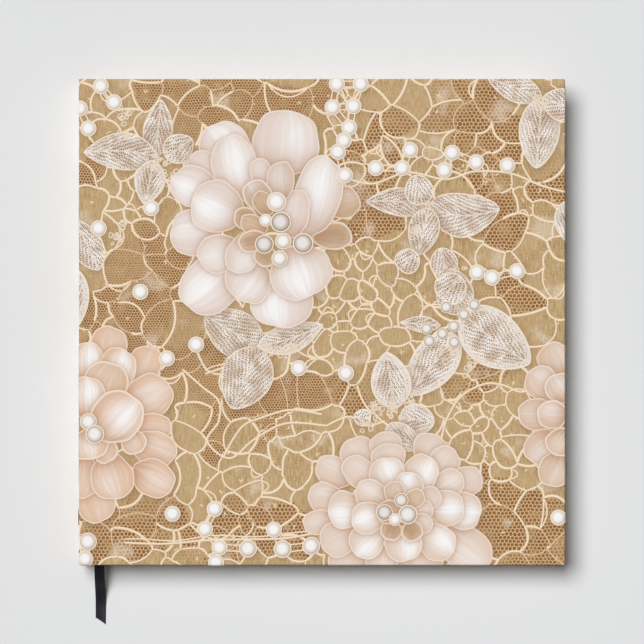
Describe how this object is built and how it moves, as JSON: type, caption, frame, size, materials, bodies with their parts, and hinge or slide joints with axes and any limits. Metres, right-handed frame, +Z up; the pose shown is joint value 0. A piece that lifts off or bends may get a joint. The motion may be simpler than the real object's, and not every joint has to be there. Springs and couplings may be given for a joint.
{
  "type": "guest book",
  "caption": "Square case-bound guest book with a printed lace-pattern hard cover, sewn pages and a ribbon bookmark; both covers hinge open and the first and last leaves turn with them.",
  "frame": {"origin": "on the surface that the book lies on, under the middle of its covers", "axes": "+Z up out of the front cover, +Y towards the head of the book, -X towards the spine"},
  "size_m": [0.216, 0.2441, 0.0205],
  "materials": {
    "printed_wrap": "printed champagne lace pattern under a satin laminate",
    "greyboard": "raw grey board",
    "endpaper": "ivory endpaper, matt",
    "page_paper": "uncoated off-white writing paper",
    "kraft_paper": "brown kraft lining",
    "mull_cloth": "starched open-weave cotton",
    "silk_thread": "twisted silk",
    "ribbon_satin": "black satin ribbon, cut on a slant"
  },
  "bodies": {
    "page_block": {"front_leaf_stubs": "page_paper", "back_leaf_stubs": "page_paper", "signature_1": "page_paper", "signature_2": "page_paper", "signature_3": "page_paper", "signature_4": "page_paper", "signature_5": "page_paper", "signature_6": "page_paper", "spine_wrap": "printed_wrap", "spine_board": "greyboard", "spine_liner": "kraft_paper", "spine_mull": "mull_cloth", "head_band": "silk_thread", "tail_band": "silk_thread", "ribbon_anchor": "ribbon_satin", "ribbon_marker": "ribbon_satin", "ribbon_tail": "ribbon_satin", "sewing_thread_1": "silk_thread", "sewing_thread_2": "silk_thread", "sewing_thread_3": "silk_thread", "sewing_thread_4": "silk_thread", "sewing_thread_5": "silk_thread"},
    "front_cover": {"front_cover_wrap": "printed_wrap", "front_board": "greyboard", "front_mull_flange": "mull_cloth", "front_pastedown": "endpaper"},
    "back_cover": {"back_cover_wrap": "printed_wrap", "back_board": "greyboard", "back_mull_flange": "mull_cloth", "back_pastedown": "endpaper"},
    "front_flyleaf_sheet": {"front_flyleaf": "endpaper"},
    "front_leaf_1_sheet": {"front_leaf_1": "page_paper"},
    "front_leaf_2_sheet": {"front_leaf_2": "page_paper"},
    "front_leaf_3_sheet": {"front_leaf_3": "page_paper"},
    "front_leaf_4_sheet": {"front_leaf_4": "page_paper"},
    "back_flyleaf_sheet": {"back_flyleaf": "endpaper"},
    "back_leaf_1_sheet": {"back_leaf_1": "page_paper"},
    "back_leaf_2_sheet": {"back_leaf_2": "page_paper"}
  },
  "joints": [
    {"name": "front_cover_hinge", "type": "hinge", "parent": "page_block", "child": "front_cover", "pos_m": [-0.108, 0, 0.0205], "axis": [0, -1, 0], "range_deg": [0, 179]},
    {"name": "back_cover_hinge", "type": "hinge", "parent": "page_block", "child": "back_cover", "pos_m": [-0.108, 0, 0], "axis": [0, 1, 0], "range_deg": [0, 179]},
    {"name": "front_flyleaf_turn", "type": "hinge", "parent": "page_block", "child": "front_flyleaf_sheet", "pos_m": [-0.0993, 0, 0.0205], "axis": [0, -1, 0], "range_deg": [0, 179]},
    {"name": "front_leaf_1_turn", "type": "hinge", "parent": "page_block", "child": "front_leaf_1_sheet", "pos_m": [-0.0993, 0, 0.0205], "axis": [0, -1, 0], "range_deg": [0, 179]},
    {"name": "front_leaf_2_turn", "type": "hinge", "parent": "page_block", "child": "front_leaf_2_sheet", "pos_m": [-0.0993, 0, 0.0205], "axis": [0, -1, 0], "range_deg": [0, 179]},
    {"name": "front_leaf_3_turn", "type": "hinge", "parent": "page_block", "child": "front_leaf_3_sheet", "pos_m": [-0.0993, 0, 0.0205], "axis": [0, -1, 0], "range_deg": [0, 179]},
    {"name": "front_leaf_4_turn", "type": "hinge", "parent": "page_block", "child": "front_leaf_4_sheet", "pos_m": [-0.0993, 0, 0.0205], "axis": [0, -1, 0], "range_deg": [0, 179]},
    {"name": "back_flyleaf_turn", "type": "hinge", "parent": "page_block", "child": "back_flyleaf_sheet", "pos_m": [-0.0993, 0, 0], "axis": [0, 1, 0], "range_deg": [0, 179]},
    {"name": "back_leaf_1_turn", "type": "hinge", "parent": "page_block", "child": "back_leaf_1_sheet", "pos_m": [-0.0993, 0, 0], "axis": [0, 1, 0], "range_deg": [0, 179]},
    {"name": "back_leaf_2_turn", "type": "hinge", "parent": "page_block", "child": "back_leaf_2_sheet", "pos_m": [-0.0993, 0, 0], "axis": [0, 1, 0], "range_deg": [0, 179]}
  ],
  "couplings": [
    {"joint": "front_flyleaf_turn", "follows": "front_cover_hinge", "ratio": 0.985},
    {"joint": "front_leaf_1_turn", "follows": "front_cover_hinge", "ratio": 0.965},
    {"joint": "front_leaf_2_turn", "follows": "front_cover_hinge", "ratio": 0.94},
    {"joint": "front_leaf_3_turn", "follows": "front_cover_hinge", "ratio": 0.91},
    {"joint": "front_leaf_4_turn", "follows": "front_cover_hinge", "ratio": 0.875},
    {"joint": "back_flyleaf_turn", "follows": "back_cover_hinge", "ratio": 0.985},
    {"joint": "back_leaf_1_turn", "follows": "back_cover_hinge", "ratio": 0.965},
    {"joint": "back_leaf_2_turn", "follows": "back_cover_hinge", "ratio": 0.94}
  ]
}
